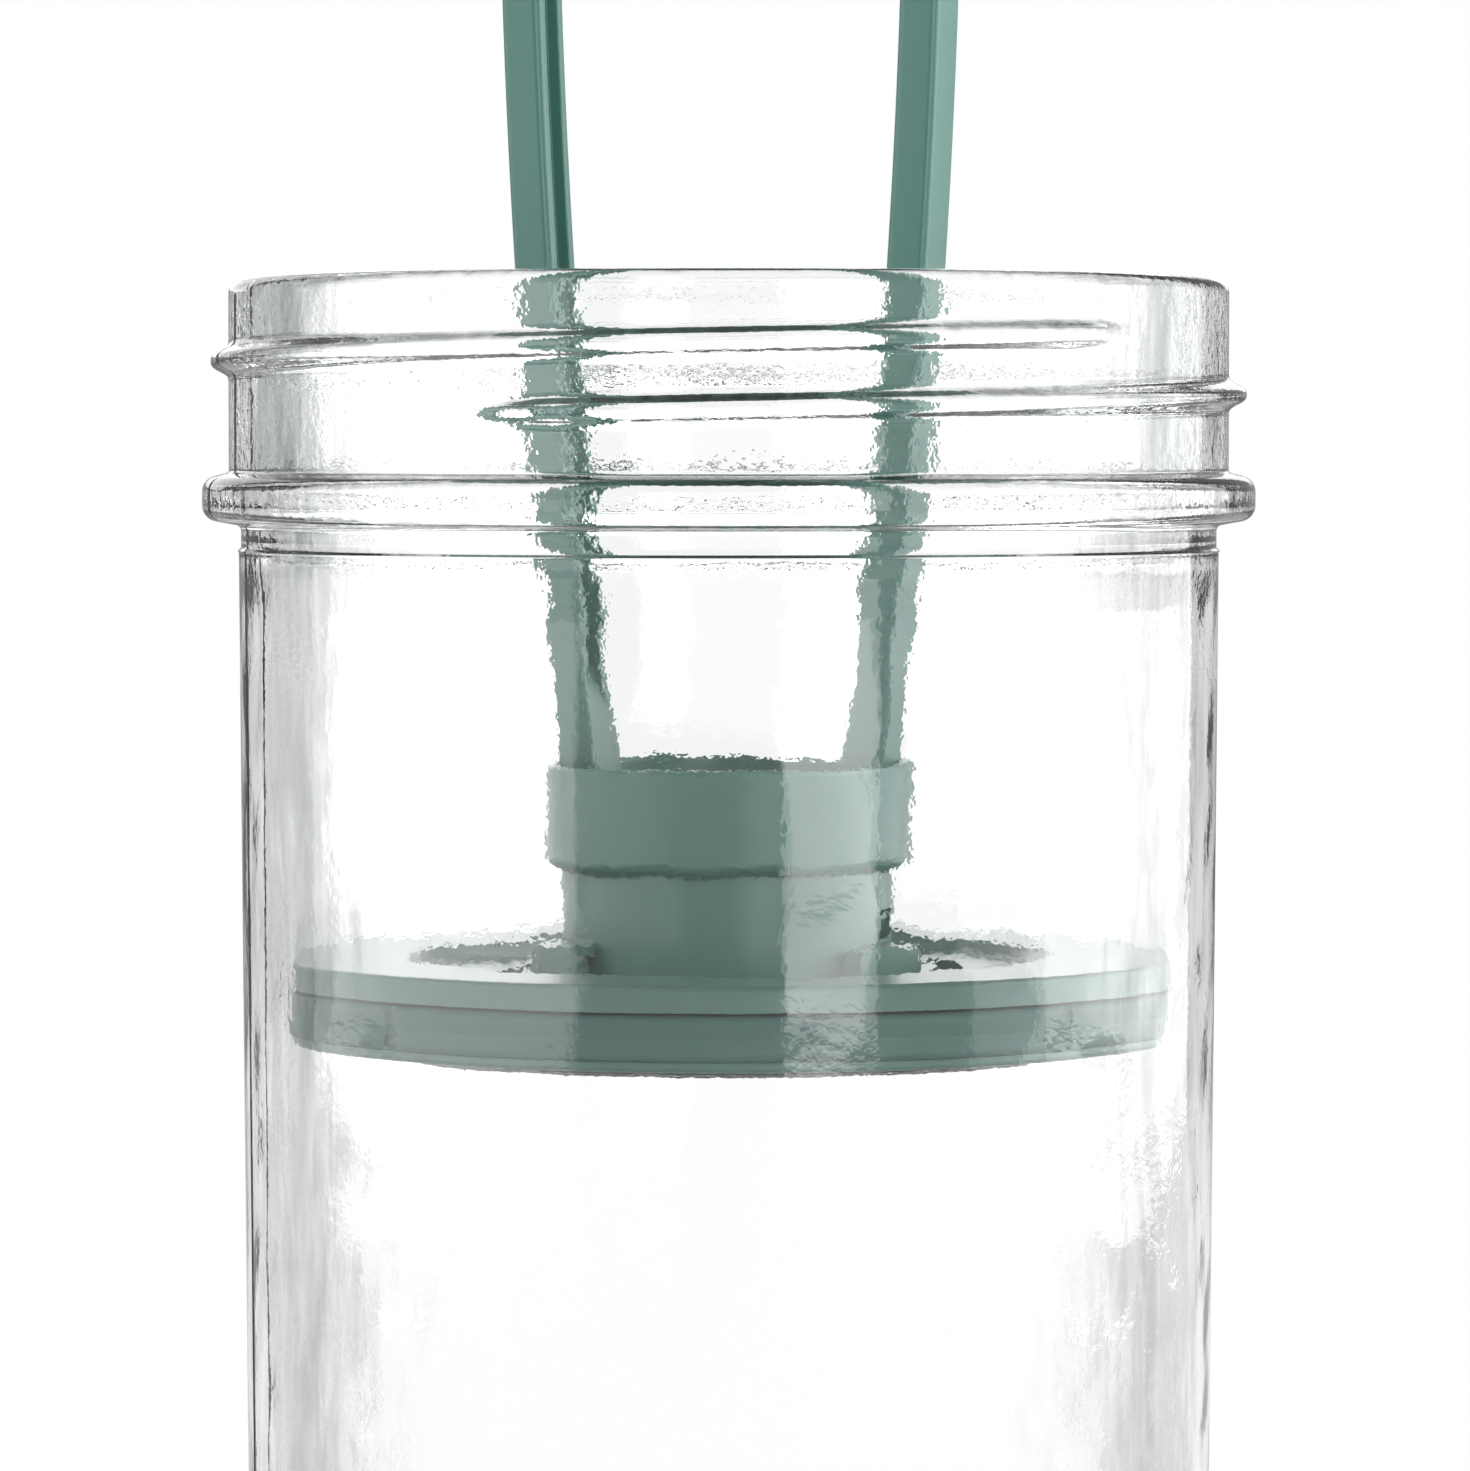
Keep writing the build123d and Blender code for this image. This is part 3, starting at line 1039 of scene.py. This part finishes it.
@dataclass
class Handle:
    """The collar, and the bail: a bowed bar with a channel along its inner side.

    The outer side of each arm goes through foot, rim and shoulder, given as the distance from
    the axis and the height. The channel runs out from channel_run_out above channel_end down to
    it, and is always at least lip_to_depth times as deep as its lips are round.
    """

    collar: str = "collar"
    tongue: Tongue = Tongue()
    top: float = 255.0 * MM
    foot: tuple[float, float] = (17.95 * MM, 125.0 * MM)
    rim: tuple[float, float] = (24.5 * MM, 190.0 * MM)
    shoulder: tuple[float, float] = (26.4 * MM, 232.0 * MM)
    width: float = 8.0 * MM
    thickness: float = 4.7 * MM
    edge_rounding: float = 0.9 * MM
    channel_width: float = 3.8 * MM
    channel_depth: float = 1.5 * MM
    channel_least_depth: float = 0.02 * MM
    channel_end: float = 142.0 * MM
    channel_run_out: float = 5.0 * MM
    lip_rounding: float = 0.25 * MM
    lip_to_depth: float = 2.1
    ledge_height: float = 0.01 * MM
    step: float = 1.5 * MM
    arc_degrees: float = 22.0
    sharp_degrees: float = 35.0

    def path(self) -> np.ndarray:
        """Draws the bar's outer side: a bowed arm, a quarter arch, a flat top, and their mirror.

        Returns:
            Places across and up, from the right foot over the arch to the left foot.
        """
        bow_centre, bow_radius = circle_through(self.foot, self.rim, self.shoulder)
        first = math.atan2(self.foot[1] - bow_centre[1], self.foot[0] - bow_centre[0])
        last = math.atan2(self.shoulder[1] - bow_centre[1], self.shoulder[0] - bow_centre[0])
        arm = arc_points(bow_centre, bow_radius, first, last, self.step)
        arch_radius = (self.top - self.shoulder[1]) / (1.0 - math.sin(last))
        arch_centre = np.array(self.shoulder) - arch_radius * np.array((math.cos(last), math.sin(last)))
        arch = arc_points(arch_centre, arch_radius, last, math.pi / 2, self.step)
        flat_parts = math.ceil(arch_centre[0] / self.step)
        flat = np.linspace((arch_centre[0], self.top), (0.0, self.top), flat_parts + 1)
        half = np.concatenate((arm, arch[1:], flat[1:]))
        mirrored = half[-2::-1] * np.array((-1.0, 1.0))
        return np.concatenate((half, mirrored))

    def bar_section(self, depth: float) -> np.ndarray:
        """Draws the bar's section, across the bar and inwards from its outer side.

        Args:
            depth: How deep the channel is there.

        Returns:
            The points once round the section.
        """
        deep = max(depth, self.channel_least_depth)
        soft = min(self.lip_rounding, deep / self.lip_to_depth)
        edge = self.edge_rounding
        mouth = self.channel_width / 2
        right = [
            (self.width / 2, 0.0, edge),
            (self.width / 2, self.thickness, edge),
            (mouth, self.thickness, soft),
            (mouth, self.thickness - deep, soft),
        ]
        left = [(-across, inwards, rounding) for across, inwards, rounding in reversed(right)]
        middle = (0.0, 0.0, 0.0)
        corners = [Corner(*spot, UNDIVIDED) for spot in (middle, *right, *left, middle)]
        return rounded_path(corners, self.arc_degrees)[:-1]

    def bar_rings(self) -> list[list[tuple[float, float, float]]]:
        """Carries the section along the bar, flat where it stands on the collar's ledge.

        Returns:
            A ring of places for each point of the path.
        """
        path = self.path()
        along = np.gradient(path, axis=0)
        along /= np.linalg.norm(along, axis=1)[:, None]
        inward = np.stack((-along[:, 1], along[:, 0]), axis=-1)
        foot_height = self.foot[1]
        rings = []
        for (x, z), (inward_x, inward_z) in zip(path, inward):
            open_share = min(max((z - self.channel_end) / self.channel_run_out, 0.0), 1.0)
            on_ledge = z <= foot_height + self.ledge_height
            ring = []
            for y, deep in self.bar_section(self.channel_depth * open_share):
                height = foot_height if on_ledge else max(z + inward_z * deep, foot_height)
                ring.append((x + inward_x * deep, y, height))
            rings.append(ring)
        return rings

    def build(self) -> bpy.types.Object:
        """Makes the bail as one mesh: the bar and its two barbed tongues.

        Returns:
            The bail, in place.
        """
        shape = TubeMesh()
        shape.add(self.bar_rings())
        for side in (1, -1):
            shape.add(self.tongue.rings(side))
        piece = add_piece("bail_bar", shape.vertices, shape.faces, smooth=True)
        weighted = piece.modifiers.new("weighted", "WEIGHTED_NORMAL")
        weighted.keep_sharp = True
        piece.data.set_sharp_from_angle(angle=math.radians(self.sharp_degrees))
        return piece

    def dress(self, piece: bpy.types.Object, sage: bpy.types.Material) -> None:
        """Gives the collar and the bail their plastic.

        Args:
            piece: The bail.
            sage: The plastic.
        """
        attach(piece, Body.HANDLE.value)
        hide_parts("bail")
        dress(piece, sage)
        log.info("bail_bar: %d faces", len(piece.data.polygons))
        dress(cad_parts[self.collar], sage)
        log.info("%s: moulded plastic", self.collar)


@dataclass(frozen=True)
class Softbox:
    """A tall soft lamp, placed round the jar from the camera's own side.

    Args:
        name: The lamp's name.
        turn: Degrees to the right of the camera, seen from the jar.
        distance: Metres from the jar's axis.
        width: Width of the lamp.
        radiance: How bright its face is.
        middle: Height of the lamp's middle above the floor.
        height: Height of the lamp itself.
        mirrored: Whether it shows in glass and plastic.
    """

    name: str
    turn: float
    distance: float
    width: float
    radiance: float
    middle: float = 0.6
    height: float = 1.2
    mirrored: bool = True

    def build(self, view_angle: float) -> None:
        """Makes the lamp, facing the jar.

        Args:
            view_angle: Angle of the camera about the jar, in degrees.
        """
        angle = math.radians(view_angle + self.turn)
        lamp = bpy.data.lights.new(self.name, "AREA")
        lamp.shape = "RECTANGLE"
        lamp.size = self.width
        lamp.size_y = self.height
        lamp.energy = self.radiance * math.pi * self.width * self.height
        holder = bpy.data.objects.new(self.name, lamp)
        place = Vector((math.cos(angle), math.sin(angle), 0.0)) * self.distance
        holder.location = place + Vector((0.0, 0.0, self.middle))
        holder.rotation_euler = (-place).to_track_quat("-Z", "Y").to_euler()
        holder.visible_camera = False
        holder.visible_glossy = self.mirrored
        bpy.context.scene.collection.objects.link(holder)


LAMPS = (
    Softbox("softbox_left", turn=-73.0, distance=0.85, width=1.35, radiance=1.45),
    Softbox("softbox_strip", turn=23.0, distance=1.1, width=0.42, radiance=3.2),
    Softbox("softbox_right", turn=106.0, distance=0.85, width=0.95, radiance=2.0),
    Softbox("fill_right", turn=84.0, distance=0.9, width=0.9, radiance=1.7, mirrored=False),
    Softbox("softbox_back", turn=190.0, distance=1.2, width=1.2, radiance=1.3, middle=0.75, height=1.0),
)


def seen_rays(graph: Graph) -> bpy.types.NodeSocket:
    """Marks the rays by which the background is seen, straight or through glass.

    Args:
        graph: The tree that asks.

    Returns:
        A socket that is 1 for them and 0 for every other ray.
    """
    before_bounce = 0.5
    path = graph.add("ShaderNodeLightPath").outputs
    seen = graph.math("MAXIMUM", path["Is Camera Ray"], path["Is Transmission Ray"])
    return graph.math("MULTIPLY", seen, graph.math("LESS_THAN", path["Diffuse Depth"], before_bounce))


@dataclass
class Studio:
    """Floor, world, lamps and camera.

    The floor's white grows from floor_least_white to all of it between the two distances of
    floor_fade. ceiling_greys pairs the upward share of a direction with a grey. ambient and
    mirrored are the world's strength for soft light and for reflections. lens is the focal
    length in millimetres.
    """

    azimuth: float = 20.0
    distance: float = 0.791
    camera_height: float = 172.5 * MM
    pitch_down: float = 2.455
    lens: float = 171.8
    side_step: float = 0.7 * MM
    floor_radius: float = 4.0
    floor_sides: int = 96
    floor_colour: Colour = (0.86, 0.86, 0.86)
    floor_fade: tuple[float, float] = (0.06, 0.34)
    floor_least_white: float = 0.35
    ceiling_greys: tuple[tuple[float, float], ...] = ((0.0, 1.0), (0.28, 1.0), (0.55, 0.22))
    ambient: float = 0.24
    mirrored: float = 0.38

    @property
    def view_angle(self) -> float:
        """Angle of the camera about the jar, in degrees from +X."""
        return self.azimuth - 90.0

    def add_floor(self) -> None:
        """Lays a pale round floor that turns white away from the jar and keeps its shadow."""
        turns = np.linspace(0.0, FULL_TURN, self.floor_sides, endpoint=False)
        radius = self.floor_radius
        edge = [(radius * math.cos(turn), radius * math.sin(turn), 0.0) for turn in turns]
        floor = add_piece("floor", edge, [range(self.floor_sides)], smooth=False)
        floor.data.materials.append(self.floor_material())

    def floor_material(self) -> bpy.types.Material:
        """Makes the floor's pale finish, plain white to the eye away from the jar.

        Returns:
            The new material.
        """
        material = bpy.data.materials.new("pale_floor")
        material.use_nodes = True
        graph = Graph(material.node_tree)
        place = graph.add("ShaderNodeTexCoord").outputs["Object"]
        away = graph.add("ShaderNodeVectorMath", {"operation": "LENGTH"}, i0=place).outputs["Value"]
        white_share = graph.remap(
            away,
            {"interpolation_type": "SMOOTHSTEP"},
            From_Min=self.floor_fade[0],
            From_Max=self.floor_fade[1],
            To_Min=self.floor_least_white,
        )
        paper = graph.add("ShaderNodeBsdfDiffuse", Color=opaque(self.floor_colour))
        white = graph.add("ShaderNodeEmission", Color=opaque(WHITE), Strength=1.0)
        share = graph.math("MULTIPLY", seen_rays(graph), white_share)
        mixed = graph.add("ShaderNodeMixShader", i0=share, i1=paper.outputs[0], i2=white.outputs[0])
        graph.add("ShaderNodeOutputMaterial", Surface=mixed.outputs[0])
        return material

    def add_world(self) -> None:
        """Makes a white backdrop for what is seen, with a grey ceiling, over plain soft light."""
        world = bpy.data.worlds.new("studio")
        bpy.context.scene.world = world
        world.use_nodes = True
        graph = Graph(world.node_tree)
        path = graph.add("ShaderNodeLightPath").outputs
        direction = graph.add("ShaderNodeTexCoord").outputs["Generated"]
        rise = graph.add("ShaderNodeSeparateXYZ", Vector=direction).outputs["Z"]
        ceiling = graph.ramp(rise, [(position, (grey,) * 3) for position, grey in self.ceiling_greys])
        through = graph.mix_colours(path["Is Transmission Ray"], opaque(WHITE), ceiling)
        backdrop = graph.add("ShaderNodeBackground", Color=through, Strength=1.0)
        soft = graph.add("ShaderNodeBackground", Color=opaque(WHITE), Strength=self.ambient)
        mirrored = graph.add("ShaderNodeBackground", Color=opaque(WHITE), Strength=self.mirrored)
        unseen = graph.add(
            "ShaderNodeMixShader", i0=path["Is Glossy Ray"], i1=soft.outputs[0], i2=mirrored.outputs[0]
        )
        mixed = graph.add(
            "ShaderNodeMixShader", i0=seen_rays(graph), i1=unseen.outputs[0], i2=backdrop.outputs[0]
        )
        graph.add("ShaderNodeOutputWorld", Surface=mixed.outputs[0])

    def add_camera(self) -> None:
        """Stands the camera where the view is taken from."""
        lens = bpy.data.cameras.new("camera")
        lens.lens = self.lens
        lens.sensor_width = 36.0
        lens.sensor_fit = "HORIZONTAL"
        lens.clip_start = 0.01
        camera = bpy.data.objects.new("camera", lens)
        angle = math.radians(self.view_angle)
        away = Vector((math.cos(angle), math.sin(angle), 0.0))
        right = Vector((-away.y, away.x, 0.0))
        camera.location = away * self.distance + right * self.side_step
        camera.location.z = self.camera_height
        tilt = math.radians(self.pitch_down)
        aim = -away * math.cos(tilt) - Vector((0.0, 0.0, math.sin(tilt)))
        camera.rotation_euler = aim.to_track_quat("-Z", "Y").to_euler()
        bpy.context.scene.collection.objects.link(camera)
        bpy.context.scene.camera = camera

    def build(self) -> None:
        """Makes the whole studio."""
        self.add_camera()
        self.add_floor()
        self.add_world()
        for lamp in LAMPS:
            lamp.build(self.view_angle)
        bpy.context.scene.view_settings.view_transform = "Standard"
        log.info("studio: camera at azimuth %.1f degrees, %d lamps", self.azimuth, len(LAMPS))


def main() -> None:
    """Builds the studio and the three sub-assemblies."""
    logging.basicConfig(level=logging.INFO, format="%(name)s: %(message)s")
    Studio().build()
    groups = Groups()
    sage = SAGE.build(groups)
    jar = PressedJar()
    jar.dress(jar.build(), groups)
    Press().dress(sage, groups)
    handle = Handle()
    handle.dress(handle.build(), sage)


if __name__ == "__main__":
    main()
